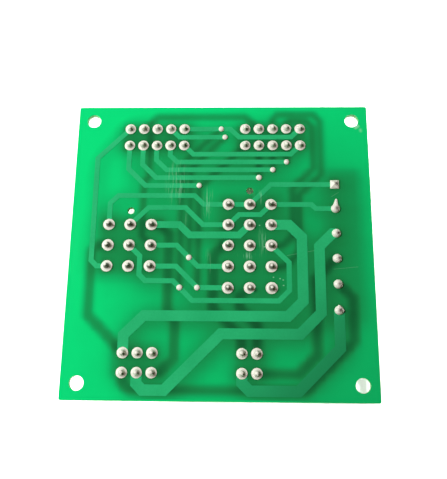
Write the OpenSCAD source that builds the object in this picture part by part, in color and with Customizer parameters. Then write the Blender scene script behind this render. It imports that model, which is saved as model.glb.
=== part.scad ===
// Passive junction board for a lift car's wiring: a drilled two-layer circuit board with soldered headers.
// It lies on its two tallest headers with the solder side up, centred on the origin, in millimetres.

/* [Board] */
// Width of the board
board_w = 89.5; // [87.5:0.5:100]
// Depth of the board
board_d = 89.5; // [87.5:0.5:100]
// Thickness of the laminate
board_t = 1.6; // [1:0.1:2.4]
// Radius of the board's corners
corner_r = 0.6; // [0.2:0.1:2]
// Distance between the mounting holes across the board
mount_span_x = 80; // [78:0.5:81]
// Distance between the mounting holes along the board
mount_span_y = 80; // [78:0.5:81]
// Diameter of the mounting holes
mount_hole_d = 4.2; // [3.2:0.1:4.5]
// Diameter of the two spare peg holes beside the matrix headers
peg_hole_d = 2.1; // [1.5:0.1:2.6]
// Distance of a peg hole from the first row of its header
peg_hole_reach = 4.35; // [4.1:0.05:4.8]
// Thickness of the copper and its lacquer on each face
copper_t = 0.07; // [0.035:0.005:0.14]
// Clearance of a fixed pin in its hole, and of solder in its barrel
fit_gap = 0.02; // [0.01:0.01:0.05]

/* [Track widths] */
// Signal tracks on the solder side
signal_w = 1.5; // [1:0.1:1.8]
// Feed track between the matrix headers
feed_w = 2.1; // [1.5:0.1:2.4]
// Power tracks on the solder side
power_w = 3.1; // [2:0.1:3.3]
// Signal tracks on the component side
far_signal_w = 1.7; // [1:0.1:2]
// Power tracks on the component side
far_power_w = 2.7; // [2:0.1:3.2]

/* [Header places] */
// Centre of the left ten-way header across the board
left_ten_x = -20; // [-21:0.1:-19]
// Centre of the right ten-way header across the board
right_ten_x = 15.6; // [14.6:0.1:16.6]
// Centre of both ten-way headers along the board
tens_y = 34.55; // [33.5:0.05:35]
// Centre of the nine-way header across the board
nine_x = -27.05; // [-28:0.05:-26]
// Centre of the fifteen-way header across the board
fifteen_x = 8.6; // [7.6:0.1:9.6]
// Centre of both matrix headers along the board
matrix_y = 0; // [-0.5:0.05:0.5]
// Centre of the six-way header across the board
six_x = -23.2; // [-24:0.1:-22]
// Centre of the four-way header across the board
four_x = 8.5; // [7.5:0.1:9.5]
// Centre of the six-way and four-way headers along the board
lower_y = -34.25; // [-35:0.05:-33.5]
// Pin row of the edge header across the board
edge_x = 34.1; // [33:0.1:35]

/* [Dual-row headers] */
// Pitch of the pins along a row
dual_pitch = 4.2; // [4.1:0.05:4.4]
// Distance between the two rows
dual_row_gap = 5.5; // [5.2:0.1:6]
// Height of the housing above the board
dual_h = 12.8; // [10:0.1:15]
// Side of each contact well
dual_well = 3.4; // [3:0.1:3.5]
// Corner cut of the keyed wells
dual_key = 0.9; // [0.5:0.1:1.2]
// Wall outside the wells on the long sides
dual_side_wall = 0.6; // [0.5:0.1:1.2]
// Wall outside the wells at the ends
dual_end_wall = 1; // [0.6:0.1:1.5]
// Thickness of the housing's floor
dual_floor = 3; // [2:0.1:4]
// Side of the square pins
dual_pin = 1.07; // [0.8:0.01:1.2]
// Depth of the pin tips below the housing's mouth
dual_pin_recess = 2.6; // [1.5:0.1:4]
// Diameter of the drilled hole for a pin
dual_drill_d = 1.8; // [1.72:0.01:2]
// Diameter of the copper land
dual_land_d = 3.2; // [2.6:0.1:3.6]
// Width of the latch ramp on the long side
latch_w = 5; // [3:0.1:6]
// How far the latch ramp stands out
latch_out = 1.3; // [0.8:0.1:1.6]
// Height of the latch ramp
latch_h = 3.2; // [2:0.1:4]
// Distance of the latch ramp's catch from the mouth
latch_drop = 1.6; // [0.5:0.1:2.5]

/* [Matrix headers] */
// Pitch of the pins both ways
matrix_pitch = 6.35; // [6.2:0.05:6.5]
// Height of the housing above the board
matrix_h = 17.5; // [16:0.5:22]
// Diameter of each contact well
matrix_well_d = 5.2; // [4.6:0.1:5.5]
// Wall outside the wells
matrix_wall = 0.55; // [0.5:0.05:1.2]
// Thickness of the housing's floor
matrix_floor = 5; // [3:0.5:7]
// Diameter of the contact pins
matrix_pin_d = 2.1; // [1.6:0.1:2.4]
// Depth of the pin tips below the housing's mouth
matrix_pin_recess = 3.5; // [2:0.1:5]
// Diameter of the pins' soldered tails
matrix_tail_d = 1.1; // [0.9:0.1:1.5]
// Diameter of the drilled hole for a tail
matrix_drill_d = 1.8; // [1.7:0.1:2.2]
// Diameter of the copper land
matrix_land_d = 3.45; // [2.8:0.05:3.6]
// Width of the latch ramps on the two sides
ramp_w = 7; // [4:0.5:10]
// How far the latch ramps stand out
ramp_out = 1.2; // [0.8:0.1:1.6]
// Height of the latch ramps
ramp_h = 4; // [2.5:0.1:5]
// Distance of the ramps' catches from the mouth
ramp_drop = 3; // [1:0.1:5]

/* [Edge header] */
// Pitch of the poles
edge_pitch = 7.62; // [7.5:0.01:7.7]
// Height of the housing above the board
edge_h = 8.6; // [8.4:0.1:12]
// Distance from the pin row to the housing's back
edge_back = 3.1; // [2.5:0.1:4]
// Distance from the pin row to the mouth
edge_front = 7.8; // [6.5:0.1:8.5]
// Distance from the last pins to the housing's ends
edge_end = 3.95; // [3:0.05:4.5]
// Thickness of the walls round the trough
edge_wall = 1.1; // [0.8:0.1:1.5]
// Thickness of the rear wall in front of the pin row
edge_rear = 1.5; // [1:0.1:2.5]
// Side of the square pins
edge_pin = 1; // [0.8:0.05:1.1]
// Height of the pins' axis above the board
edge_pin_h = 2.4; // [1.8:0.1:2.5]
// Depth of the pin tips behind the mouth
edge_pin_recess = 1.2; // [0.5:0.1:2.5]
// Width of the coding notch over each pole
notch_w = 2.4; // [1.5:0.1:3.5]
// Length of the coding notch
notch_l = 3.2; // [2:0.1:5]
// Diameter of the drilled hole for a pin
edge_drill_d = 1.6; // [1.58:0.01:1.9]
// Diameter of the copper land, and side of the square land on the first pole
edge_land_d = 2.75; // [2.4:0.05:3.2]

/* [Solder] */
// Height of the fillets on the header pins
fillet_h = 1.5; // [1:0.1:2]
// Thickness of solder round a pin at the top of its fillet
neck_t = 0.2; // [0.1:0.05:0.35]
// Height of a fillet's outer lip
lip_h = 0.12; // [0.05:0.01:0.2]
// How far the dual-row pins stand out of their fillets
dual_tip_out = 0.1; // [0.05:0.05:0.6]
// How far the matrix pins stand out of their fillets
matrix_tip_out = 0.6; // [0.2:0.1:1]
// Length of the taper on a pin's tips
tip_taper = 0.8; // [0.2:0.05:1]
// Height of the closed domes on the edge header
dome_h = 1.2; // [1:0.05:1.35]
// Length of the drawn-out solder icicle on the second pole
icicle_l = 3.1; // [2:0.1:3.5]
// Diameter of the icicle's end
icicle_end_d = 0.3; // [0.2:0.05:0.6]
// Diameter of the bead on the last pole's joint
bead_d = 1; // [0.8:0.05:1.1]
// Diameter of the vias' solder domes
via_d = 1.75; // [1.4:0.05:2]
// Height of the vias' solder domes
via_dome_h = 0.55; // [0.3:0.05:0.7]
// Diameter of the vias' drilled holes
via_drill_d = 0.9; // [0.6:0.1:1.1]

/* [Hidden] */
$fn = 48;

laminate_green = "#12a352";
track_green = "#2bb573";
far_track_green = "#1b7f49";
natural_nylon = "#ece6d3";
header_green = "#2f7d45";
tinned_brass = "#c6c2b4";
solder_silver = "#d9d9d4";

// Heights from the resting plane, which is the matrix headers' mouths
seat_z = matrix_h;
laminate_z = seat_z + copper_t;
face_z = laminate_z + board_t;
land_z = face_z + copper_t;
dual_tip_z = land_z + fillet_h + dual_tip_out;
matrix_tip_z = land_z + fillet_h + matrix_tip_out;
overcut = 1;

// A header is [columns, rows, centre x, centre y, column pitch, row pitch], seen from the solder side
left_ten = [5, 2, left_ten_x, tens_y, dual_pitch, dual_row_gap];
right_ten = [5, 2, right_ten_x, tens_y, dual_pitch, dual_row_gap];
six = [3, 2, six_x, lower_y, dual_pitch, dual_row_gap];
four = [2, 2, four_x, lower_y, dual_pitch, dual_row_gap];
nine = [3, 3, nine_x, matrix_y, matrix_pitch, matrix_pitch];
fifteen = [3, 5, fifteen_x, matrix_y, matrix_pitch, matrix_pitch];
edge_poles = 6;
edge = [1, edge_poles, edge_x, matrix_y, edge_pitch, edge_pitch];
dual_headers = [left_ten, right_ten, six, four];
matrix_headers = [nine, fifteen];

function half_span(count, pitch) = (count - 1) * pitch / 2;

function pin(h, c, r) = [
    h[2] - half_span(h[0], h[4]) + c * h[4],
    h[3] + half_span(h[1], h[5]) - r * h[5]
];

function pins_of(h) = [for (c = [0 : h[0] - 1], r = [0 : h[1] - 1]) pin(h, c, r)];

function peg_hole(h) = pin(h, 1, 0) + [0, peg_hole_reach];

// Lanes that the tracks follow on both faces, measured from the board's edges and from the header rows
west_inset = 6.65;
south_inset = 3;
north_inset = 3.45;
rim_inset = 2.55;
bundle_gap = 5.65;
bundle_step = 2.55;
cross_gap = 2.8;
fan_gap = 1;
under_gap = 3.75;
power_gap = 4.45;
return_gap = 5.05;
ring_gap = 1.25;
power_step = 3.9;
rim_step = 2.1;
west_lane = west_inset - board_w / 2;
south_lane = south_inset - board_d / 2;
north_lane = board_d / 2 - north_inset;
rim_lane = board_d / 2 - rim_inset;
inner_rim_lane = rim_lane - rim_step;
bundle_top = tens_y - bundle_gap;
function bundle_lane(i) = bundle_top - i * bundle_step;
row_lane = matrix_pitch / 2;
first_row = matrix_y + 2 * matrix_pitch;
last_row = matrix_y - 2 * matrix_pitch;
cross_lane = first_row + cross_gap;
fan_lane = first_row - fan_gap;
under_lane = last_row - under_gap;
power_lane = under_lane - power_gap;
return_lane = power_lane - return_gap;
ring_x = fifteen_x + 2 * matrix_pitch - ring_gap;
power_x = ring_x + power_step;
return_x = power_x + return_gap;

// Where tracks turn in the gap between the two matrix headers, from its middle
turn_x = -9.78;
link_x = turn_x + 3.2;
fan_x = turn_x + 1.8;
feed_x = turn_x - 1;
under_x = turn_x - 1.1;
far_feed_x = turn_x - 5.35;
far_drop_x = turn_x - 3;

// Solder-filled vias, on the tracks that they join to the far side
via_pitch = 2.55;
first_via_x = turn_x + 3.1;
far_bend_run = 11.4;
far_bend_step = 1.2;
via_lanes = [for (i = [0 : 2]) first_via_x - i * via_pitch];
far_bend_left = pin(left_ten, 4, 0) + [far_bend_run, 0];
far_bend_right = [far_bend_left[0] + far_bend_step, tens_y];
via_bundle = [for (i = [1 : 3]) [pin(right_ten, 4 - i, 1)[0], bundle_lane(i)]];
via_low_left = [via_lanes[0], bundle_lane(4)];
turn_end = [via_lanes[0], last_row];
turn_mid = [via_lanes[1], matrix_y - (via_lanes[1] - turn_x) - row_lane];
ring_via = [via_lanes[2], last_row];
vias = concat(via_bundle, [far_bend_left, far_bend_right, via_low_left, turn_end, turn_mid, ring_via]);

// The 45 degree cuts taken off the corners of each route, in order along it; whole takes all there is
whole = 1000;
bundle_bend = 5.4;
bundle_bend_step = 1.08;
west_bends = [whole, 1.7];
link_bends = [2.4, whole, whole];
under_bends = [3.3, 1.85, whole, whole, 3.05, whole];
power_bends = [3.75, 4.4, 5.6];
return_bends = [4, 6.1, whole, whole, 1.8];
last_pole_bends = [11.9, 2.15];
rim_bends = [1.6, 2.2, 3.4, 3.4, 4.5];
inner_rim_bends = [1.2, 2, 3.3, 3.3, 3];
nine_feed_bends = [1.5, whole, whole, whole];
far_west_bends = [1.9, whole];
far_south_bends = [2.3, 14, whole];
far_power_bends = [3, whole, whole, 4.1];
four_left_bends = [3, 4.3, 4.3];
four_right_bends = [whole, 2.45, 2.45];
four_return_bends = [5.3, 6];

// Places where single tracks step aside or turn
step_x = far_bend_left[0] + 4.15;
pole_step_x = return_x - 1.35;
drop_x = nine_x + 3.3;
drop_lane = under_lane + 5.75;
south_x = -7.5;
rim_x = return_x + 1.2;
rim_drop_x = power_x - 0.6;
inner_rim_x = return_x - 1.1;
inner_drop_x = ring_x + 1.25;
first_pole_y = pin(edge, 0, 0)[1];
inner_pole_lane = first_pole_y + 2;
nine_feed_x = pin(left_ten, 2, 0)[0] - 2.1;
nine_feed_lane = cross_lane + 5;
nine_drop_x = pin(nine, 2, 1)[0] - 2.8;
edge_return_x = edge_x + 4.1;
four_left_x = pin(fifteen, 0, 2)[0] - 4.45;
four_left_lane = power_lane - 2;
four_right_x = fifteen_x - 2.9;
four_return_x = return_x - 1.3;

// A route is [width, right-angled corners, cuts at those corners]
near_routes = [
    for (i = [0 : 3])
        let (
            p = pin(left_ten, i, 1),
            lane = bundle_lane(4 - i),
            stop = i == 0 ? via_low_left : via_bundle[3 - i]
        )
        [signal_w, [p, [p[0], lane], stop], [bundle_bend - i * bundle_bend_step]],
    [signal_w, [pin(left_ten, 4, 1), [pin(left_ten, 4, 1)[0], bundle_top],
        [pin(right_ten, 4, 1)[0], bundle_top], pin(right_ten, 4, 1)], [whole, whole]],
    [signal_w, [pin(left_ten, 3, 0), [pin(left_ten, 3, 0)[0], tens_y], far_bend_right], [whole]],
    [signal_w, [pin(left_ten, 4, 0), [step_x, far_bend_left[1]], [step_x, tens_y],
        [pin(right_ten, 4, 0)[0], tens_y], pin(right_ten, 4, 0)], [whole, whole, whole]],
    [signal_w, [pin(left_ten, 0, 0), [west_lane, pin(left_ten, 0, 0)[1]],
        [west_lane, pin(nine, 0, 2)[1]], pin(nine, 0, 2)], west_bends],
    [signal_w, [pin(nine, 0, 0), [pin(nine, 0, 0)[0], cross_lane], [link_x, cross_lane],
        [link_x, first_row], pin(fifteen, 1, 0)], link_bends],
    [signal_w, [pin(fifteen, 1, 0), [fifteen_x, first_pole_y], pin(edge, 0, 0)], [whole]],
    [signal_w, [pin(nine, 1, 0), [nine_x, fan_lane], [fan_x, fan_lane],
        [fan_x, pin(fifteen, 0, 1)[1]], pin(fifteen, 0, 1)], [whole, whole, whole]],
    [signal_w, [pin(fifteen, 0, 1), pin(fifteen, 0, 1) + [0, row_lane],
        pin(fifteen, 2, 0) - [0, row_lane], pin(fifteen, 2, 0)], [whole, whole]],
    [signal_w, [pin(fifteen, 2, 0), [pole_step_x, first_row],
        [pole_step_x, pin(edge, 0, 1)[1]], pin(edge, 0, 1)], [whole, whole]],
    [feed_w, [pin(nine, 2, 0), [feed_x, pin(nine, 2, 0)[1]], [feed_x, matrix_y + row_lane],
        pin(fifteen, 1, 1) - [0, row_lane], pin(fifteen, 1, 1)], [whole, whole, whole]],
    for (r = [1, 2])
        [signal_w, [pin(nine, 2, r), [turn_x, pin(nine, 2, r)[1]],
            [turn_x, pin(fifteen, 0, r + 2)[1]], pin(fifteen, 0, r + 2)], [whole, whole]],
    [signal_w, [pin(nine, 1, 1), [drop_x, matrix_y], [drop_x, drop_lane], [under_x, drop_lane],
        [under_x, under_lane], [ring_x, under_lane], [ring_x, matrix_y], pin(fifteen, 2, 2)], under_bends],
    [power_w, [pin(fifteen, 2, 1), [power_x, pin(fifteen, 2, 1)[1]], [power_x, power_lane],
        [pin(six, 0, 0)[0], power_lane], pin(six, 0, 0)], power_bends],
    [power_w, [pin(edge, 0, 2), [return_x, pin(edge, 0, 2)[1]], [return_x, return_lane],
        [south_x, return_lane], [south_x, south_lane], [six_x, south_lane], pin(six, 1, 1)], return_bends],
    [power_w, [pin(edge, 0, 5), [edge_x, south_lane],
        [pin(four, 0, 1)[0], south_lane], pin(four, 0, 1)], last_pole_bends]
];

far_routes = [
    [far_signal_w, [pin(left_ten, 1, 0), [pin(left_ten, 1, 0)[0], north_lane],
        [pin(right_ten, 1, 0)[0], north_lane], pin(right_ten, 1, 0)], [whole, whole]],
    [far_signal_w, [pin(right_ten, 2, 0), [right_ten_x, rim_lane], [rim_x, rim_lane], [rim_x, first_pole_y],
        [rim_drop_x, first_pole_y], [rim_drop_x, pin(fifteen, 2, 3)[1]], pin(fifteen, 2, 3)], rim_bends],
    [far_signal_w, [pin(right_ten, 3, 0), [pin(right_ten, 3, 0)[0], inner_rim_lane],
        [inner_rim_x, inner_rim_lane], [inner_rim_x, inner_pole_lane], [inner_drop_x, inner_pole_lane],
        [inner_drop_x, matrix_y], pin(fifteen, 2, 2)], inner_rim_bends],
    [far_signal_w, [pin(left_ten, 2, 0), [nine_feed_x, pin(left_ten, 2, 0)[1]], [nine_feed_x, nine_feed_lane],
        [nine_drop_x, nine_feed_lane], [nine_drop_x, matrix_y], pin(nine, 2, 1)], nine_feed_bends],
    for (i = [0 : 2])
        [far_signal_w, [via_bundle[i], pin(right_ten, 3 - i, 1)], []],
    [far_signal_w, [via_low_left, [pin(right_ten, 0, 1)[0], via_low_left[1]], pin(right_ten, 0, 1)], [whole]],
    [far_signal_w, [via_low_left, turn_end], []],
    [far_signal_w, [far_bend_right, [turn_mid[0], far_bend_right[1]], turn_mid], [whole]],
    [far_signal_w, [far_bend_left, [ring_via[0], far_bend_left[1]], ring_via], [whole]],
    [far_power_w, [pin(nine, 0, 1), [west_lane, matrix_y], [west_lane, pin(six, 0, 0)[1]], pin(six, 0, 0)],
        far_west_bends],
    [far_power_w, [pin(six, 0, 1), [pin(six, 0, 1)[0], south_lane], [edge_return_x, south_lane],
        [edge_return_x, pin(edge, 0, 4)[1]], pin(edge, 0, 4)], far_south_bends],
    [far_power_w, [pin(nine, 2, 0), [far_feed_x, pin(nine, 2, 0)[1]], [far_feed_x, power_lane],
        [far_drop_x, power_lane], [far_drop_x, pin(six, 2, 1)[1]], pin(six, 2, 1)], far_power_bends],
    [far_power_w, [pin(fifteen, 0, 2), [four_left_x, matrix_y], [four_left_x, four_left_lane],
        [pin(four, 0, 0)[0], four_left_lane], pin(four, 0, 0)], four_left_bends],
    [far_power_w, [pin(fifteen, 1, 4), [four_right_x, last_row], [four_right_x, power_lane],
        [pin(four, 1, 0)[0], power_lane], pin(four, 1, 0)], four_right_bends],
    [far_power_w, [pin(four, 1, 1), [four_return_x, pin(four, 1, 1)[1]],
        [four_return_x, pin(edge, 0, 3)[1]], pin(edge, 0, 3)], four_return_bends]
];

// Right-angled corners with their 45 degree cuts, no longer than the run that they are taken from
function cut_corner(p, i, cut) =
    let (
        before = p[i - 1] - p[i],
        after = p[i + 1] - p[i],
        room_before = norm(before) / (i == 1 ? 1 : 2),
        room_after = norm(after) / (i == len(p) - 2 ? 1 : 2),
        leg = min(cut, room_before, room_after)
    )
    [p[i] + before / norm(before) * leg, p[i] + after / norm(after) * leg];

function cut_route(p, cuts) = distinct(concat(
    [p[0]],
    [for (i = [1 : 1 : len(p) - 2]) each cut_corner(p, i, cuts[i - 1])],
    [p[len(p) - 1]]
));

function distinct(p) = [for (i = [0 : len(p) - 1]) if (i == 0 || norm(p[i] - p[i - 1]) > fit_gap) p[i]];

// Outline of a track: its centre line set off to both sides, with mitred corners
function side_of(a, b) = [a[1] - b[1], b[0] - a[0]] / norm(b - a);
function mitre(m, n) = (m + n) / (1 + m * n);
function side_at(p, i) =
    i == 0 ? side_of(p[0], p[1]) :
    i == len(p) - 1 ? side_of(p[i - 1], p[i]) :
    mitre(side_of(p[i - 1], p[i]), side_of(p[i], p[i + 1]));
function track_outline(p, w) = concat(
    [for (i = [0 : len(p) - 1]) p[i] + side_at(p, i) * w / 2],
    [for (i = [len(p) - 1 : -1 : 0]) p[i] - side_at(p, i) * w / 2]
);

module at_pins(headers)
    for (h = headers, p = pins_of(h))
        translate(p) children();

module at_vias()
    for (p = vias)
        translate(p) children();

// All drilled holes for pins and vias, as plain cylinders through the board
module drills(bottom, height)
    translate([0, 0, bottom]) {
        at_pins(dual_headers) cylinder(d = dual_drill_d, h = height);
        at_pins(matrix_headers) cylinder(d = matrix_drill_d, h = height);
        at_pins([edge]) cylinder(d = edge_drill_d, h = height);
        at_vias() cylinder(d = via_drill_d, h = height);
    }

module lands() {
    at_pins(dual_headers) cylinder(d = dual_land_d, h = copper_t);
    at_pins(matrix_headers) cylinder(d = matrix_land_d, h = copper_t);
    at_pins([edge]) cylinder(d = edge_land_d, h = copper_t);
    translate(pin(edge, 0, 0)) square_land();
    at_vias() cylinder(d = via_d, h = copper_t);
}

module square_land()
    translate([-edge_land_d / 2, -edge_land_d / 2, 0]) cube([edge_land_d, edge_land_d, copper_t]);

module copper(routes)
    difference() {
        union() {
            for (r = routes)
                linear_extrude(copper_t) polygon(track_outline(cut_route(r[1], r[2]), r[0]));
            lands();
        }
        drills(-overcut, copper_t + 2 * overcut);
    }

module laminate()
    color(laminate_green) difference() {
        translate([0, 0, laminate_z]) rounded_plate();
        drills(laminate_z - overcut, board_t + 2 * overcut);
        for (x = [-1, 1], y = [-1, 1])
            translate([x * mount_span_x / 2, y * mount_span_y / 2, laminate_z - overcut])
                cylinder(d = mount_hole_d, h = board_t + 2 * overcut);
        for (h = matrix_headers)
            translate([0, 0, laminate_z - overcut])
                translate(peg_hole(h)) cylinder(d = peg_hole_d, h = board_t + 2 * overcut);
    }

module rounded_plate() {
    inner_w = board_w - 2 * corner_r;
    inner_d = board_d - 2 * corner_r;
    translate([-inner_w / 2, -board_d / 2, 0]) cube([inner_w, board_d, board_t]);
    translate([-board_w / 2, -inner_d / 2, 0]) cube([board_w, inner_d, board_t]);
    for (x = [-1, 1], y = [-1, 1])
        translate([x * inner_w / 2, y * inner_d / 2, 0]) cylinder(r = corner_r, h = board_t);
}

module solder_side_tracks() color(track_green) translate([0, 0, face_z]) copper(near_routes);

module component_side_tracks() color(far_track_green) translate([0, 0, seat_z]) copper(far_routes);

// Dual-row header: a moulded block of keyed square wells with a latch ramp on its outer side
function dual_length(h) = (h[0] - 1) * dual_pitch + dual_well + 2 * dual_end_wall;
function dual_depth() = dual_row_gap + dual_well + 2 * dual_side_wall;
function outer_side(h) = h[3] < 0 ? -1 : 1;

module keyed_well(keyed) {
    half = dual_well / 2;
    cut = keyed ? dual_key : 0;
    corners = [
        [-half, -half], [half, -half], [half, half - cut],
        [half - cut, half], [cut - half, half], [-half, half - cut]
    ];
    linear_extrude(dual_h) polygon(distinct(corners));
}

module ramp(width, out, height)
    translate([width / 2, 0, 0]) rotate([0, -90, 0])
        linear_extrude(width) polygon([[0, 0], [height, 0], [height, out]]);

module dual_housing(h)
    color(natural_nylon) {
        mouth_z = seat_z - dual_h;
        difference() {
            translate([h[2] - dual_length(h) / 2, h[3] - dual_depth() / 2, mouth_z])
                cube([dual_length(h), dual_depth(), dual_h]);
            for (c = [0 : h[0] - 1], r = [0 : 1])
                translate(pin(h, c, r)) {
                    translate([0, 0, mouth_z - dual_floor]) keyed_well((c + 2 * r) % 3 != 0);
                    square_post(dual_pin + 2 * fit_gap, seat_z - dual_floor - overcut, seat_z + overcut);
                }
        }
        translate([h[2], h[3] + outer_side(h) * dual_depth() / 2, mouth_z + latch_drop])
            mirror([0, outer_side(h) < 0 ? 1 : 0, 0]) ramp(latch_w, latch_out, latch_h);
    }

module square_post(side, bottom, top)
    translate([-side / 2, -side / 2, bottom]) cube([side, side, top - bottom]);

// A square pin with four-sided tapers on both tips
module square_pin(side, bottom, top) {
    half = side / 2;
    slim = half / 2;
    profile = [
        [-slim, bottom], [slim, bottom], [half, bottom + tip_taper], [half, top - tip_taper],
        [slim, top], [-slim, top], [-half, top - tip_taper], [-half, bottom + tip_taper]
    ];
    intersection() {
        rotate([90, 0, 0]) linear_extrude(side, center = true) polygon(profile);
        rotate([90, 0, 90]) linear_extrude(side, center = true) polygon(profile);
    }
}

module dual_pins(h)
    color(tinned_brass)
        at_pins([h]) square_pin(dual_pin, seat_z - dual_h + dual_pin_recess, dual_tip_z);

// Concave fillet from a land up to a pin, with the solder that fills the barrel below it
module fillet(land_d, neck_d, drill_d) {
    run = (land_d - neck_d) / 2;
    rise = fillet_h - lip_h;
    arc_r = (run * run + rise * rise) / (2 * run);
    translate([0, 0, land_z]) rotate_extrude()
        difference() {
            square([land_d / 2, fillet_h]);
            translate([neck_d / 2 + arc_r, fillet_h]) circle(r = arc_r);
        }
    barrel(drill_d);
}

module barrel(drill_d)
    translate([0, 0, seat_z]) cylinder(d = drill_d - 2 * fit_gap, h = land_z - seat_z + lip_h / 2);

// The pin's taper has begun at the top of its fillet, which closes in on it
dual_taper_part = max(0, 1 - dual_tip_out / tip_taper);
dual_neck_d = dual_pin * sqrt(2) * (1 - dual_taper_part / 2) + 2 * neck_t;

module dual_solder(h)
    color(solder_silver) at_pins([h])
        difference() {
            fillet(dual_land_d, dual_neck_d, dual_drill_d);
            square_pin(dual_pin + 2 * fit_gap, seat_z - tip_taper, dual_tip_z + fit_gap);
        }

// Matrix header: a moulded block of round wells with a latch ramp on each side
function matrix_size(count) = (count - 1) * matrix_pitch + matrix_well_d + 2 * matrix_wall;

module matrix_housing(h)
    color(natural_nylon) {
        width = matrix_size(h[0]);
        depth = matrix_size(h[1]);
        difference() {
            translate([h[2] - width / 2, h[3] - depth / 2, 0]) cube([width, depth, matrix_h]);
            at_pins([h]) {
                translate([0, 0, -overcut])
                    cylinder(d = matrix_well_d, h = matrix_h - matrix_floor + overcut);
                cylinder(d = matrix_pin_d + 2 * fit_gap, h = matrix_h + overcut);
            }
        }
        for (side = [-1, 1])
            translate([h[2] + side * width / 2, h[3], ramp_drop])
                rotate([0, 0, -90 * side]) ramp(ramp_w, ramp_out, ramp_h);
    }

module matrix_pins(h)
    color(tinned_brass) at_pins([h])
        rotate_extrude() polygon([
            [0, matrix_pin_recess], [matrix_pin_d / 4, matrix_pin_recess],
            [matrix_pin_d / 2, matrix_pin_recess + matrix_pin_d / 2], [matrix_pin_d / 2, seat_z],
            [matrix_tail_d / 2, seat_z], [matrix_tail_d / 2, matrix_tip_z - tip_taper],
            [matrix_tail_d / 4, matrix_tip_z], [0, matrix_tip_z]
        ]);

module matrix_solder(h)
    color(solder_silver) at_pins([h])
        difference() {
            fillet(matrix_land_d, matrix_tail_d + 2 * neck_t, matrix_drill_d);
            translate([0, 0, seat_z - overcut])
                cylinder(d = matrix_tail_d + 2 * fit_gap, h = matrix_tip_z - seat_z + overcut);
        }

// Edge header: a right-angle trough that opens to the board's edge, with bent square pins
edge_mouth_x = edge_x + edge_front;
edge_trough_x = edge_x + edge_rear;
edge_half = half_span(edge_poles, edge_pitch) + edge_end;
edge_pin_top = land_z + dome_h / 2;

module edge_housing()
    color(header_green) difference() {
        translate([edge_x - edge_back, matrix_y - edge_half, seat_z - edge_h])
            cube([edge_back + edge_front, 2 * edge_half, edge_h]);
        translate([edge_trough_x, matrix_y - edge_half + edge_wall, seat_z - edge_h + edge_wall])
            cube([edge_front, 2 * (edge_half - edge_wall), edge_h - 2 * edge_wall]);
        at_pins([edge]) {
            translate([edge_front - notch_l, -notch_w / 2, seat_z - edge_h - overcut])
                cube([notch_l + overcut, notch_w, edge_wall + 2 * overcut]);
            bent_pin(fit_gap, seat_z + overcut);
        }
    }

// A square pin that rises through the board from its bend; grow gives the hole that holds it
module bent_pin(grow, top) {
    half = edge_pin / 2 + grow;
    axis_z = seat_z - edge_pin_h;
    tip_x = edge_front - edge_pin_recess;
    translate([0, half, 0]) rotate([90, 0, 0])
        linear_extrude(2 * half) polygon([
            [-half, top], [half, top], [half, axis_z + half], [tip_x, axis_z + half],
            [tip_x, axis_z - half], [0, axis_z - half], [-half, axis_z]
        ]);
}

module edge_pins() color(tinned_brass) at_pins([edge]) bent_pin(0, edge_pin_top);

module dome(d, height) {
    ball_r = (d * d / 4 + height * height) / (2 * height);
    rotate_extrude() intersection() {
        translate([0, height - ball_r]) circle(r = ball_r);
        square([d / 2, height]);
    }
}

// Four-sided heap of solder on the square land
module solder_pyramid() {
    half = edge_land_d / 2;
    profile = [[-half, 0], [half, 0], [half, lip_h], [edge_pin, dome_h], [-edge_pin, dome_h], [-half, lip_h]];
    intersection() {
        rotate([90, 0, 0]) linear_extrude(edge_land_d, center = true) polygon(profile);
        rotate([90, 0, 90]) linear_extrude(edge_land_d, center = true) polygon(profile);
    }
}

// Solder drawn out to a tapering tip, away along the pin row and a little upwards
icicle_tilt = -84;
module icicle()
    translate([0, 0, dome_h / 2]) rotate([icicle_tilt, 0, 0])
        cylinder(d1 = dome_h, d2 = icicle_end_d, h = icicle_l);

// Small round bead on a dome's shoulder
module bead() translate([0, (edge_land_d - bead_d) / 2 + lip_h, bead_d / 2]) sphere(d = bead_d);

module edge_solder()
    color(solder_silver) at_edge_poles()
        difference() {
            union() {
                translate([0, 0, land_z]) {
                    if ($pole == 0) solder_pyramid();
                    else dome(edge_land_d, dome_h);
                    if ($pole == 1) icicle();
                    if ($pole == edge_poles - 1) bead();
                }
                barrel(edge_drill_d);
            }
            square_post(edge_pin + 2 * fit_gap, seat_z - overcut, edge_pin_top + fit_gap);
        }

module at_edge_poles()
    for ($pole = [0 : edge_poles - 1])
        translate(pin(edge, 0, $pole)) children();

module via_solder()
    color(solder_silver) at_vias() {
        translate([0, 0, land_z]) dome(via_d, via_dome_h);
        barrel(via_drill_d);
    }

module left_ten_way_housing() dual_housing(left_ten);
module left_ten_way_pins() dual_pins(left_ten);
module left_ten_way_solder() dual_solder(left_ten);
module right_ten_way_housing() dual_housing(right_ten);
module right_ten_way_pins() dual_pins(right_ten);
module right_ten_way_solder() dual_solder(right_ten);
module six_way_housing() dual_housing(six);
module six_way_pins() dual_pins(six);
module six_way_solder() dual_solder(six);
module four_way_housing() dual_housing(four);
module four_way_pins() dual_pins(four);
module four_way_solder() dual_solder(four);
module nine_way_housing() matrix_housing(nine);
module nine_way_pins() matrix_pins(nine);
module nine_way_solder() matrix_solder(nine);
module fifteen_way_housing() matrix_housing(fifteen);
module fifteen_way_pins() matrix_pins(fifteen);
module fifteen_way_solder() matrix_solder(fifteen);

laminate();
solder_side_tracks();
component_side_tracks();
left_ten_way_housing();
left_ten_way_pins();
left_ten_way_solder();
right_ten_way_housing();
right_ten_way_pins();
right_ten_way_solder();
nine_way_housing();
nine_way_pins();
nine_way_solder();
fifteen_way_housing();
fifteen_way_pins();
fifteen_way_solder();
edge_housing();
edge_pins();
edge_solder();
six_way_housing();
six_way_pins();
six_way_solder();
four_way_housing();
four_way_pins();
four_way_solder();
via_solder();
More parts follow.
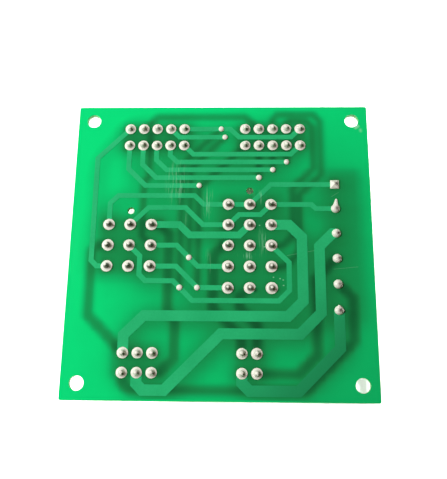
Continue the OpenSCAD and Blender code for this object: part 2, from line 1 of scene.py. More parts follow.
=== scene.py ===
import math

import bmesh
import bpy
import numpy as np
from mathutils import Euler, Matrix, Vector
from mathutils.bvhtree import BVHTree
from mathutils.geometry import delaunay_2d_cdt


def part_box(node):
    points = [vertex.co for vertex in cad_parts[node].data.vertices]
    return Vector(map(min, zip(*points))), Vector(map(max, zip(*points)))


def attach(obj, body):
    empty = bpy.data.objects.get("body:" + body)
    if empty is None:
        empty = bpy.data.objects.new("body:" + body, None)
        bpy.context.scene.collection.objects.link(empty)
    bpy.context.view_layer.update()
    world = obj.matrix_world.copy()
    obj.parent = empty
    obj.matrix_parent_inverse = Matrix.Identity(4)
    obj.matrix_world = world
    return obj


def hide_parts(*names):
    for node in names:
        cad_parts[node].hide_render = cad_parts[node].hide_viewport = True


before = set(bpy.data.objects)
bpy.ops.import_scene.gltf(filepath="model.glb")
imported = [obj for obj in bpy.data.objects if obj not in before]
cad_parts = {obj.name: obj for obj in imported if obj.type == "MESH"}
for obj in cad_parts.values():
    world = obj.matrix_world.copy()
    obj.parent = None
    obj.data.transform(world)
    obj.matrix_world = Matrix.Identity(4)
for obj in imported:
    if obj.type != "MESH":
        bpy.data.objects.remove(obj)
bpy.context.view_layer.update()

# Board: a square sheet of glass-epoxy laminate, drilled, with a sawn rim and both faces under green lacquer.
# It lets light through, so the faces are meshed finely enough to carry what shows from the far side and the
# painted light and shade.
MM = 0.001
MERGE_GAP = MM / 1000
LEVEL_GAP = MM / 100
SAME_POINT = MM / 10000
MESH_STEP = 0.55 * MM
PROBE = 2 * MM
board_low, board_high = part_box("laminate")


def ray_tree(*names):
    """Search tree that rays can be cast at, from the meshes of CAD nodes."""
    points = []
    triangles = []
    for name in names:
        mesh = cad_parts[name].data
        start = len(points)
        points.extend(v.co.copy() for v in mesh.vertices)
        triangles.extend([start + i for i in face.vertices] for face in mesh.polygons)
    return BVHTree.FromPolygons(points, triangles)


def drilled_rim(name):
    """Points and edges round the top face of a CAD node: its outline and its holes."""
    whole = bmesh.new()
    whole.from_mesh(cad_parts[name].data)
    bmesh.ops.remove_doubles(whole, verts=whole.verts, dist=MERGE_GAP)
    top = max(v.co.z for v in whole.verts)
    flat = {f for f in whole.faces if all(abs(v.co.z - top) < LEVEL_GAP for v in f.verts)}
    rim = [e for e in whole.edges if sum(f in flat for f in e.link_faces) == 1]
    order = {}
    for edge in rim:
        for v in edge.verts:
            order.setdefault(v, len(order))
    points = [Vector(v.co.xy) for v in order]
    edges = [tuple(order[v] for v in e.verts) for e in rim]
    whole.free()
    return points, edges


def board_mesh(name):
    """The laminate with finely meshed faces, and the number of its points that lie on the top face."""
    solid = ray_tree("laminate")
    down = Vector((0, 0, -1))

    def is_solid(x, y):
        return solid.ray_cast(Vector((x, y, board_high.z + MM)), down, PROBE)[0] is not None

    points, edges = drilled_rim("laminate")
    for x in np.arange(board_low.x + MESH_STEP, board_high.x - MESH_STEP / 2, MESH_STEP):
        for y in np.arange(board_low.y + MESH_STEP, board_high.y - MESH_STEP / 2, MESH_STEP):
            if is_solid(x, y):
                points.append(Vector((x, y)))
    flat, _, triangles, _, _, _ = delaunay_2d_cdt(points, edges, [], 0, SAME_POINT)
    top = []
    for triangle in triangles:
        centre = sum((flat[i] for i in triangle), Vector((0, 0))) / 3
        if is_solid(*centre):
            top.append(tuple(triangle))
    count = len(flat)
    sides = {}
    for a, b, c in top:
        for start, end in ((a, b), (b, c), (c, a)):
            sides[start, end] = True
    walls = [(a, a + count, b + count, b) for a, b in sides if (b, a) not in sides]
    under = [(c + count, b + count, a + count) for a, b, c in top]
    corners = [(p.x, p.y, z) for z in (board_high.z, board_low.z) for p in flat]
    mesh = bpy.data.meshes.new(name)
    mesh.from_pydata(corners, [], top + under + walls)
    for face in mesh.polygons[len(top) + len(under):]:
        face.material_index = 1
    mesh.update()
    return mesh, count


def link(name, mesh):
    made = bpy.data.objects.new(name, mesh)
    bpy.context.scene.collection.objects.link(made)
    return made


lacquered_mesh, top_count = board_mesh("lacquered_board")
lacquered_board = link("lacquered_board", lacquered_mesh)

# What shows through the laminate, painted into its colour: copper on the far face darkens it, the housings
# darken it as painted shade, and the ground's light under the board brightens it towards the rim as painted
# light. Worked out from the CAD solids and kept as a point attribute.
HOUSINGS = [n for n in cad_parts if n.endswith("_housing")]
HOUSING_PROBE = 4 * MM
CELL = 0.25 * MM
MARGIN = 6 * MM
cells = int(round((board_high.x - board_low.x + 2 * MARGIN) / CELL))
cell_x = board_low.x - MARGIN + (np.arange(cells) + 0.5) * CELL
cell_y = board_low.y - MARGIN + (np.arange(cells) + 0.5) * CELL


def cover(tree, way, reach):
    """Raster of where a solid lies straight above or below the middle of the laminate."""
    start_z = (board_low.z + board_high.z) / 2
    ray = Vector((0, 0, way))
    field = np.zeros((cells, cells))
    for i, x in enumerate(cell_x):
        for j, y in enumerate(cell_y):
            field[i, j] = tree.ray_cast(Vector((x, y, start_z)), ray, reach)[0] is not None
    return field


def soften(field, radius):
    """A raster blurred as light spreads inside the sheet."""
    waves = np.fft.fftfreq(cells, d=CELL)
    fall = np.exp(-2 * (np.pi * radius * waves) ** 2)
    return np.fft.ifft2(np.fft.fft2(field) * np.outer(fall, fall)).real


def at_points(field, points):
    i = np.clip(((points[:, 0] - cell_x[0]) / CELL).round().astype(int), 0, cells - 1)
    j = np.clip(((points[:, 1] - cell_y[0]) / CELL).round().astype(int), 0, cells - 1)
    return field[i, j]


far_copper = cover(ray_tree("component_side_tracks"), -1, PROBE)
near_copper = cover(ray_tree("solder_side_tracks"), 1, PROBE)
housing_tree = ray_tree(*HOUSINGS)
housings_below = cover(housing_tree, -1, HOUSING_PROBE)

# The ground's light on the far face, painted into the sheet's colour as painted light, by rays from a coarse
# grid of places under the board. The ground is brighter to the left and the back, and under the board it
# fades with the distance from each edge.
GROUND_RAYS = 72
GROUND_STEP = 2.5 * MM
RAY_START = 0.2 * MM
GOLDEN_TURN = math.pi * (3 - math.sqrt(5))
NYLON_BOUNCE = 0.15
GROUND_BRIGHT = 0.65
GROUND_DIMMEST = 0.1
BRIGHTER_LEFT = 5.8
BRIGHTER_BACK = 5.0
LIGHT_REACH = (25 * MM, 8 * MM, 6 * MM, 10 * MM)


def ground_light(x, y):
    lean = min(1.0, max(GROUND_DIMMEST, GROUND_BRIGHT - BRIGHTER_LEFT * x + BRIGHTER_BACK * y))
    inset = (x - board_low.x, board_high.x - x, y - board_low.y, board_high.y - y)
    if min(inset) < 0:
        return lean
    return lean * min(1.0, sum(math.exp(-d / reach) for d, reach in zip(inset, LIGHT_REACH)))


def light_from_below(x, y):
    start = Vector((x, y, board_low.z - RAY_START))
    total = 0.0
    for k in range(GROUND_RAYS):
        out = math.sqrt((k + 0.5) / GROUND_RAYS)
        turn = k * GOLDEN_TURN
        ray = Vector((out * math.cos(turn), out * math.sin(turn), -math.sqrt(1 - out * out)))
        if housing_tree.ray_cast(start, ray)[0] is not None:
            total += NYLON_BOUNCE
        else:
            reach = start.z / -ray.z
            total += ground_light(x + ray.x * reach, y + ray.y * reach)
    return total / GROUND_RAYS


coarse_x = np.arange(board_low.x, board_high.x + GROUND_STEP / 2, GROUND_STEP)
coarse_y = np.arange(board_low.y, board_high.y + GROUND_STEP / 2, GROUND_STEP)
coarse = np.array([[light_from_below(x, y) for y in coarse_y] for x in coarse_x])
glow = np.array([np.interp(cell_y, coarse_y, row) for row in coarse])
glow = np.array([np.interp(cell_x, coarse_x, column) for column in glow.T]).T

# How bright the sheet is painted from each side: its clear brightness scaled by the painted light from below,
# less what the copper and the housings hold back, the housings as painted shade. A track on the near face
# also gets a painted soft shadow in the sheet, a few cells to its front right.
CLEAR_SHEET = 0.795
GLOW_POWER = 0.32
GLOW_LEAST = 0.05
COPPER_SHADE = 0.8
COPPER_BLUR = 0.65 * MM
HOUSING_SHADE = 0.4
HOUSING_BLUR = 2.0 * MM
TRACK_SHADE = 1.1
TRACK_BLUR = 2.5 * MM
TRACK_SHADOW_CELLS = 3
FAR_FACE_SHINE = 0.45
FAR_FACE_SHADE = 0.6
FAR_FACE_BLUR = 0.8 * MM
track_shadow = np.roll(near_copper, (TRACK_SHADOW_CELLS, -TRACK_SHADOW_CELLS), (0, 1))
held_back = COPPER_SHADE * soften(far_copper, COPPER_BLUR)
held_back += HOUSING_SHADE * soften(housings_below, HOUSING_BLUR)
held_back += TRACK_SHADE * soften(track_shadow, TRACK_BLUR)
painted_top_shine = CLEAR_SHEET * (glow + GLOW_LEAST) ** GLOW_POWER * np.exp(-held_back)
painted_under_shine = FAR_FACE_SHINE * np.exp(-FAR_FACE_SHADE * soften(near_copper, FAR_FACE_BLUR))

sheet_points = np.array([v.co for v in lacquered_mesh.vertices])
is_on_top = np.arange(len(sheet_points)) < top_count
painted_shine = np.where(is_on_top, at_points(painted_top_shine, sheet_points), at_points(painted_under_shine, sheet_points))
painted_shine_layer = lacquered_mesh.attributes.new("painted_shine_through", "FLOAT", "POINT")
painted_shine_layer.data.foreach_set("value", painted_shine.astype(np.float32))


def linear(code):
    """An sRGB hex value as linear red, green, blue and alpha."""
    parts = [int(code[i:i + 2], 16) / 255 for i in (1, 3, 5)]
    return tuple(c / 12.92 if c <= 0.04045 else ((c + 0.055) / 1.055) ** 2.4 for c in parts) + (1.0,)


def join(tree, node, sockets):
    """Links each socket that is given another node's output, and sets each that is given a plain value."""
    for name, value in sockets.items():
        if isinstance(value, bpy.types.NodeSocket):
            tree.links.new(value, node.inputs[name])
        else:
            node.inputs[name].default_value = value


def add_node(tree, kind, sockets, stops=(), **settings):
    """Adds a node with its settings and links, and gives its outputs. Stops fill a colour ramp."""
    made = tree.nodes.new(kind)
    for name, value in settings.items():
        setattr(made, name, value)
    join(tree, made, sockets)
    if stops:
        elements = made.color_ramp.elements
        while len(elements) < len(stops):
            elements.new(0.5)
        for element, (position, code) in zip(elements, stops):
            element.position = position
            element.color = linear(code)
    return made.outputs


def new_material(name):
    made = bpy.data.materials.new(name)
    made.use_nodes = True
    return made, made.node_tree, made.node_tree.nodes["Principled BSDF"]


def per_metre(size_mm):
    """Texture scale that gives a pattern of this size in millimetres."""
    return 1000 / size_mm


# Flux left by the soldering: pale thin streaks that run down the board between the header rows. It dried on
# top of the lacquer, so it lies over bare sheet and tracks alike. Each row is one soft oval patch of streaks:
# its middle, half its width and half its height in millimetres, and its strength.
FLUX_COLOUR = "#9fe8bd"
FLUX_PATCHES = (
    (-13.5, 19.5, 4.2, 9.0, 0.6),
    (-4.0, 13.0, 2.4, 7.0, 0.45),
    (-11.5, 9.0, 1.8, 5.0, 0.4),
    (8.5, -3.0, 4.0, 1.6, 0.6),
    (12.5, 1.5, 2.0, 6.0, 0.5),
    (11.5, 15.0, 3.0, 2.8, 0.5),
    (-3.5, -5.0, 1.4, 5.0, 0.4),
)
STREAK_WIDTH = 0.5
STREAK_STRETCH = 0.07


def flux_haze(tree, where):
    amount = 0.0
    for x, y, wide, tall, strength in FLUX_PATCHES:
        near = add_node(tree, "ShaderNodeMapping", {
            "Vector": where, "Location": (x * MM, y * MM, board_high.z), "Scale": (wide * MM, tall * MM, MM)},
            vector_type="TEXTURE")[0]
        out = add_node(tree, "ShaderNodeVectorMath", {0: near}, operation="LENGTH")["Value"]
        there = add_node(tree, "ShaderNodeMapRange", {
            "Value": out, "From Min": 1.0, "From Max": 0.2, "To Max": strength},
            interpolation_type="SMOOTHSTEP")[0]
        amount = add_node(tree, "ShaderNodeMath", {0: amount, 1: there}, operation="MAXIMUM")[0]
    stretch = add_node(tree, "ShaderNodeMapping", {"Vector": where, "Scale": (1.0, STREAK_STRETCH, 1.0)})[0]
    streak = add_node(tree, "ShaderNodeTexNoise", {
        "Vector": stretch, "Scale": per_metre(STREAK_WIDTH), "Detail": 4.0, "Roughness": 0.65})["Fac"]
    streaky = add_node(tree, "ShaderNodeMapRange", {"Value": streak, "From Min": 0.5, "From Max": 0.75})[0]
    return add_node(tree, "ShaderNodeMath", {0: streaky, 1: amount}, operation="MULTIPLY")[0]


# Green lacquer on glass-epoxy: a glossy, slightly rippled film over a translucent sheet, painted vivid where
# light comes through and deep green over copper, with flux haze, hair scratches, specks and two pale smears
# beside the back right mounting hole.
# Each stroke is its two ends and half its width in millimetres, and its strength.
STROKES = [
    ((19.5, -3.0), (29.0, -1.2), 0.1, 0.22),
    ((33.0, -7.0), (40.0, -6.3), 0.1, 0.22),
    ((33.0, 15.2), (35.2, 16.6), 0.1, 0.22),
    # Two pale smears beside the back right mounting hole.
    ((41.2, 37.8), (41.8, 38.2), 0.8, 0.9),
    ((42.6, 37.0), (42.7, 36.6), 0.7, 0.4),
]
SPECKS = ((15.4, -9.5), (17.3, -9.9), (18.2, -10.3), (18.3, -11.9), (12.8, -0.4), (11.4, 6.2))
SPECK_LENGTH = 0.15
SPECK_HALF_WIDTH = 0.22
SPECK_STRENGTH = 0.7
STROKES += [((x, y), (x + SPECK_LENGTH, y), SPECK_HALF_WIDTH, SPECK_STRENGTH) for x, y in SPECKS]


def stroke_mark(tree, where, ends, half_width, strength):
    start, end = (Vector((x * MM, y * MM, board_high.z)) for x, y in ends)
    run = (end - start).normalized()
    offset = add_node(tree, "ShaderNodeVectorMath", {0: where, 1: start}, operation="SUBTRACT")[0]
    along = add_node(tree, "ShaderNodeVectorMath", {0: offset, 1: run}, operation="DOT_PRODUCT")["Value"]
    held = add_node(tree, "ShaderNodeClamp", {"Value": along, "Min": 0.0, "Max": (end - start).length})[0]
    foot = add_node(tree, "ShaderNodeVectorMath", {0: run, "Scale": held}, operation="SCALE")[0]
    gap = add_node(tree, "ShaderNodeVectorMath", {0: offset, 1: foot}, operation="DISTANCE")["Value"]
    return add_node(tree, "ShaderNodeMapRange", {
        "Value": gap, "From Min": half_width, "From Max": 0.0, "To Max": strength})[0]


def lacquer_over_laminate():
    made, tree, shader = new_material("green_lacquer_on_glass_epoxy")
    where = add_node(tree, "ShaderNodeTexCoord", {})["Object"]
    # Painted light and shade: the attribute read here brightens the sheet with painted light from below and
    # darkens it with painted shade under the housings, painted track shadows and the copper on the far face.
    through = add_node(tree, "ShaderNodeAttribute", {}, attribute_name="painted_shine_through")["Fac"]
    cloud = add_node(tree, "ShaderNodeTexNoise", {
        "Vector": where, "Scale": per_metre(7), "Detail": 3.0})["Fac"]
    shift = add_node(tree, "ShaderNodeMapRange", {"Value": cloud, "To Min": -0.03, "To Max": 0.03})[0]
    varied = add_node(tree, "ShaderNodeMath", {0: through, 1: shift}, operation="ADD")[0]
    green = add_node(tree, "ShaderNodeValToRGB", {"Fac": varied}, stops=(
        (0.08, "#0d4f2a"), (0.25, "#178a4a"), (0.45, "#0cb464"), (0.7, "#04df7c")))["Color"]
    haze = flux_haze(tree, where)
    for start, end, half_width, strength in STROKES:
        mark = stroke_mark(tree, where, (start, end), half_width * MM, strength)
        haze = add_node(tree, "ShaderNodeMath", {0: haze, 1: mark}, operation="MAXIMUM")[0]
    hazed = add_node(tree, "ShaderNodeMix", {
        "Factor": haze, 6: green, 7: linear(FLUX_COLOUR)}, data_type="RGBA")[2]
    rough = add_node(tree, "ShaderNodeMapRange", {"Value": haze, "To Min": 0.2, "To Max": 0.5})[0]
    peel = add_node(tree, "ShaderNodeTexNoise", {
        "Vector": where, "Scale": per_metre(0.8), "Detail": 2.0})["Fac"]
    bump = add_node(tree, "ShaderNodeBump", {"Height": peel, "Strength": 0.12, "Distance": 0.02 * MM})[0]
    join(tree, shader, {
        "Base Color": hazed, "Roughness": rough, "Normal": bump, "Specular IOR Level": 0.3})
    return made


# Cut glass-epoxy: the sawn rim and the drilled walls, dull and pale green-yellow, with the glass cloth in
# level layers. These are drawn coarser than in a real sheet, so that they show.
LAYER_DEPTH = 0.2
WAVE_RATE = 20


def cut_glass_epoxy():
    made, tree, shader = new_material("cut_glass_epoxy")
    where = add_node(tree, "ShaderNodeTexCoord", {})["Object"]
    layers = add_node(tree, "ShaderNodeTexWave", {
        "Vector": where, "Scale": per_metre(LAYER_DEPTH) / WAVE_RATE, "Distortion": 1.5, "Detail": 2.0},
        bands_direction="Z")["Fac"]
    grain = add_node(tree, "ShaderNodeTexNoise", {
        "Vector": where, "Scale": per_metre(0.5), "Detail": 4.0})["Fac"]
    mixed = add_node(tree, "ShaderNodeMath", {0: layers, 1: grain}, operation="MULTIPLY")[0]
    pale = add_node(tree, "ShaderNodeValToRGB", {"Fac": mixed}, stops=(
        (0.0, "#74b87c"), (0.7, "#b9dcae")))["Color"]
    bump = add_node(tree, "ShaderNodeBump", {"Height": grain, "Strength": 0.4, "Distance": 0.03 * MM})[0]
    join(tree, shader, {"Base Color": pale, "Normal": bump, "Roughness": 0.75})
    return made


lacquered_mesh.materials.append(lacquer_over_laminate())
lacquered_mesh.materials.append(cut_glass_epoxy())
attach(lacquered_board, "root")
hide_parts("laminate")

# Tracks and lands: etched copper under the same lacquer, which rounds their edges. One pattern on each face.
# Copper behind the film reads as a lighter, greyer green than the bare sheet, with painted shade that makes
# it dimmer to the front right.
FLAT_ANGLE = math.radians(1)
SHARP_ANGLE = math.radians(35)
BEVEL_ANGLE = math.radians(40)
TRACK_EDGE = 0.04 * MM
TRACK_SEGMENTS = 2
SHADE_START = 25 * MM
SHADE_END = 75 * MM


def softened_copy(name, node, width, segments):
    """A merged copy of a CAD node whose sharp edges are rounded."""
    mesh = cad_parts[node].data.copy()
    mesh.materials.clear()
    shape = bmesh.new()
    shape.from_mesh(mesh)
    bmesh.ops.remove_doubles(shape, verts=shape.verts, dist=MERGE_GAP)
    bmesh.ops.dissolve_limit(shape, angle_limit=FLAT_ANGLE, verts=shape.verts, edges=shape.edges)
    shape.to_mesh(mesh)
    shape.free()
    made = link(name, mesh)
    bevel = made.modifiers.new("rounded_edges", "BEVEL")
    bevel.width = width
    bevel.segments = segments
    bevel.limit_method = "ANGLE"
    bevel.angle_limit = BEVEL_ANGLE
    bevel.harden_normals = True
    for face in mesh.polygons:
        face.use_smooth = True
    mesh.set_sharp_from_angle(angle=SHARP_ANGLE)
    return made


def lacquer_over_copper():
    made, tree, shader = new_material("green_lacquer_on_copper")
    where = add_node(tree, "ShaderNodeTexCoord", {})["Object"]
    cloud = add_node(tree, "ShaderNodeTexNoise", {
        "Vector": where, "Scale": per_metre(9), "Detail": 3.0})["Fac"]
    grain = add_node(tree, "ShaderNodeTexNoise", {
        "Vector": where, "Scale": per_metre(0.6), "Detail": 2.0})["Fac"]
    mixed = add_node(tree, "ShaderNodeMix", {"Factor": 0.3, 2: cloud, 3: grain})[0]
    green = add_node(tree, "ShaderNodeValToRGB", {"Fac": mixed}, stops=(
        (0.3, "#24b06d"), (0.7, "#2dc07a")))["Color"]
    # Painted shade: the copper's green is darkened towards the front right corner.
    corner = add_node(tree, "ShaderNodeVectorMath", {
        0: where, 1: (1.0, -1.0, 0.0)}, operation="DOT_PRODUCT")["Value"]
    painted_shade_amount = add_node(tree, "ShaderNodeMapRange", {
        "Value": corner, "From Min": SHADE_START, "From Max": SHADE_END}, interpolation_type="SMOOTHSTEP")[0]
    shaded_green = add_node(tree, "ShaderNodeMix", {
        "Factor": painted_shade_amount, 6: green, 7: linear("#1c8a54")}, data_type="RGBA")[2]
    hazed = add_node(tree, "ShaderNodeMix", {
        "Factor": flux_haze(tree, where), 6: shaded_green, 7: linear(FLUX_COLOUR)}, data_type="RGBA")[2]
    bump = add_node(tree, "ShaderNodeBump", {"Height": grain, "Strength": 0.15, "Distance": 0.02 * MM})[0]
    join(tree, shader, {
        "Base Color": hazed, "Normal": bump, "Roughness": 0.25, "Specular IOR Level": 0.3})
    return made


copper_lacquer = lacquer_over_copper()
for node in ("solder_side_tracks", "component_side_tracks"):
    tracks = softened_copy("lacquered_" + node, node, TRACK_EDGE, TRACK_SEGMENTS)
    tracks.data.materials.append(copper_lacquer)
    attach(tracks, "root")
    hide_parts(node)

# Header housings: injection-moulded nylon in its natural milky colour, seated on the board's component side.
# The right-angle edge header is moulded in green. Small radii from the mould catch the light along each edge,
# and the fine grain of the mould gives a satin surface that lets a little light in.
MOULD_EDGE = 0.13 * MM
MOULD_SEGMENTS = 3


def moulded(name, shallow, deep, depth_of_light):
    made, tree, shader = new_material(name)
    where = add_node(tree, "ShaderNodeTexCoord", {})["Object"]
    cloud = add_node(tree, "ShaderNodeTexNoise", {
        "Vector": where, "Scale": per_metre(5), "Detail": 3.0})["Fac"]
    colour = add_node(tree, "ShaderNodeValToRGB", {"Fac": cloud}, stops=(
        (0.3, deep), (0.7, shallow)))["Color"]
    grain = add_node(tree, "ShaderNodeTexNoise", {
        "Vector": where, "Scale": per_metre(0.35), "Detail": 3.0})["Fac"]
    rough = add_node(tree, "ShaderNodeMapRange", {"Value": grain, "To Min": 0.38, "To Max": 0.55})[0]
    bump = add_node(tree, "ShaderNodeBump", {"Height": grain, "Strength": 0.25, "Distance": 0.02 * MM})[0]
    join(tree, shader, {
        "Base Color": colour, "Roughness": rough, "Normal": bump, "IOR": 1.53,
        "Subsurface Weight": depth_of_light, "Subsurface Radius": (1.0, 0.8, 0.55),
        "Subsurface Scale": 0.8 * MM})
    return made


natural_nylon = moulded("natural_nylon", "#d8cfb8", "#c9bfa4", 0.3)
green_polyester = moulded("green_moulded_polyester", "#35864b", "#2c7541", 0.0)
for node in HOUSINGS:
    is_edge = node == "edge_housing"
    housing = softened_copy("moulded_" + node, node, MOULD_EDGE, MOULD_SEGMENTS)
    housing.data.materials.append(green_polyester if is_edge else natural_nylon)
    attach(housing, "root")
    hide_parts(node)


# Contact pins: drawn brass wire, tin plated, pressed through the housing floors. The plating is soft and
# greyish, with faint draw lines along the wire.
def tinned_wire():
    made, tree, shader = new_material("tin_plated_brass")
    where = add_node(tree, "ShaderNodeTexCoord", {})["Object"]
    stretch = add_node(tree, "ShaderNodeMapping", {"Vector": where, "Scale": (1.0, 1.0, 0.05)})[0]
    lines = add_node(tree, "ShaderNodeTexNoise", {
        "Vector": stretch, "Scale": per_metre(0.15), "Detail": 3.0})["Fac"]
    grey = add_node(tree, "ShaderNodeValToRGB", {"Fac": lines}, stops=(
        (0.3, "#b9b3a4"), (0.7, "#d4cfc3")))["Color"]
    rough = add_node(tree, "ShaderNodeMapRange", {"Value": lines, "To Min": 0.2, "To Max": 0.38})[0]
    join(tree, shader, {"Base Color": grey, "Roughness": rough, "Metallic": 1.0})
    return made


pin_metal = tinned_wire()
for node in (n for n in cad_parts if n.endswith("_pins")):
    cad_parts[node].material_slots[0].material = pin_metal

# Solder joints: tin-lead solder drawn up each pin into a bright concave cone that closes over the pin's tip.
# No two set alike, so each joint is turned, leant and rippled a little. Painted brown shade darkens the coat
# round the pins, most of all on the side turned from the key light.
land_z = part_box("solder_side_tracks")[1].z
TURNS = 40
# Painted shade: its direction is the side turned from the key light, and the narrowness is how tightly it
# keeps to that side.
SHADE_WAY = math.radians(-30)
SHADE_NARROWNESS = 8


def islands(node):
    """Centre and size of each separate solid in a CAD node."""
    shape = bmesh.new()
    shape.from_mesh(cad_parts[node].data)
    bmesh.ops.remove_doubles(shape, verts=shape.verts, dist=MERGE_GAP)
    found = []
    left = set(shape.verts)
    while left:
        group = [left.pop()]
        for v in group:
            near = {e.other_vert(v) for e in v.link_edges} & left
            left -= near
            group.extend(near)
        low = Vector(min(v.co[k] for v in group) for k in range(3))
        high = Vector(max(v.co[k] for v in group) for k in range(3))
        found.append(((low + high) / 2, high - low))
    shape.free()
    return sorted(found, key=lambda part: (round(part[0].x, 4), -round(part[0].y, 4)))


def turned(name, profile):
    """A closed solid of revolution from (radius, height, ring, side) points, from the rim to the axis. The
    last two say how much painted brown shade darkens the skin, all round and on the side turned from the key
    light."""
    shape = bmesh.new()
    dull = shape.verts.layers.float.new("dull")
    rings = []
    for radius, height, ring, side in profile[:-1]:
        row = []
        for angle in (2 * math.pi * k / TURNS for k in range(TURNS)):
            v = shape.verts.new((radius * math.cos(angle), radius * math.sin(angle), height))
            v[dull] = max(ring, side * max(0.0, math.cos(angle - SHADE_WAY)) ** SHADE_NARROWNESS)
            row.append(v)
        rings.append(row)
    crown = shape.verts.new((0, 0, profile[-1][1]))
    for lower, upper in zip(rings, rings[1:]):
        for k in range(TURNS):
            shape.faces.new((lower[k], lower[(k + 1) % TURNS], upper[(k + 1) % TURNS], upper[k]))
    for k in range(TURNS):
        shape.faces.new((rings[-1][k], rings[-1][(k + 1) % TURNS], crown))
    shape.faces.new(rings[0][::-1])
    mesh = bpy.data.meshes.new(name)
    shape.to_mesh(mesh)
    shape.free()
    for face in mesh.polygons[:-1]:
        face.use_smooth = True
    return mesh


# Joint forms: a low lip, a hollow flank up to the neck, a thin coat up the pin and a bright round end.
# A coat's rows are radius and height in millimetres. The end's rows are a share of the coat's last radius, a
# rise in millimetres, a share of the ring's painted shade, and the painted shade on the side turned from the
# key light.
LIP = 0.08 * MM
FLANK_STEPS = 12
FLANK_CURVE = 2.2
SHADE_SHARE = 1 / 3
TIP_END = ((1.0, 0.0, 0.5, 0.8), (0.82, 0.08, 0.0, 0.2), (0.45, 0.12, 0.0, 0.0), (0.0, 0.13, 0.0, 0.0))
DUAL_COAT = ((0.82, 0.62), (0.79, 0.84), (0.63, 1.15), (0.52, 1.42), (0.46, 1.60))
DUAL_RING = 0.1
MATRIX_COAT = ((0.70, 0.66), (0.63, 1.00), (0.61, 1.32), (0.52, 1.62), (0.46, 1.90), (0.43, 2.10))
MATRIX_RING = 0.85


def joint_profile(rim, coat_mm, ring):
    coat = [(radius * MM, height * MM) for radius, height in coat_mm]
    neck, shoulder = coat[0]
    profile = [(rim, 0.0, 0.0, 0.0)]
    for part in (k / (FLANK_STEPS - 1) for k in range(FLANK_STEPS)):
        shaded = max(0.0, 1 - (1 - part) / SHADE_SHARE)
        height = LIP + (shoulder - LIP) * part ** FLANK_CURVE
        profile.append((rim + (neck - rim) * part, height, ring * shaded, shaded))
    profile += [(radius, height, ring, 1.0) for radius, height in coat[1:-1]]
    tip, top = coat[-1]
    profile += [(share * tip, top + rise * MM, part * ring, side) for share, rise, part, side in TIP_END]
    return profile


# Tin-lead solder: smooth with faint ripples, painted nearly white with little metal as painted sheen, and
# brown where painted shade is laid on.
def bright_solder():
    made, tree, shader = new_material("tin_lead_solder")
    where = add_node(tree, "ShaderNodeTexCoord", {})["Object"]
    dull = add_node(tree, "ShaderNodeAttribute", {}, attribute_name="dull")["Fac"]
    # Painted shade: the brown end of this ramp is painted shade and shadow on the joints.
    colour = add_node(tree, "ShaderNodeValToRGB", {"Fac": dull}, stops=(
        (0.0, "#fcfdf0"), (1.0, "#47352a")))["Color"]
    metal = add_node(tree, "ShaderNodeMapRange", {"Value": dull, "To Min": 0.1, "To Max": 0.25})[0]
    cloud = add_node(tree, "ShaderNodeTexNoise", {
        "Vector": where, "Scale": per_metre(1.6), "Detail": 4.0})["Fac"]
    rough = add_node(tree, "ShaderNodeMapRange", {"Value": cloud, "To Min": 0.22, "To Max": 0.38})[0]
    ripple = add_node(tree, "ShaderNodeTexNoise", {
        "Vector": where, "Scale": per_metre(0.7), "Detail": 2.0})["Fac"]
    bump = add_node(tree, "ShaderNodeBump", {"Height": ripple, "Strength": 0.1, "Distance": 0.03 * MM})[0]
    join(tree, shader, {"Base Color": colour, "Metallic": metal, "Roughness": rough, "Normal": bump})
    return made


solder_metal = bright_solder()
JOINT_LEAN = math.radians(3)
TURN_RANGE = 0.4
RIPPLE_SIZE = 1.3
FOOT_HEIGHT = 0.05 * MM


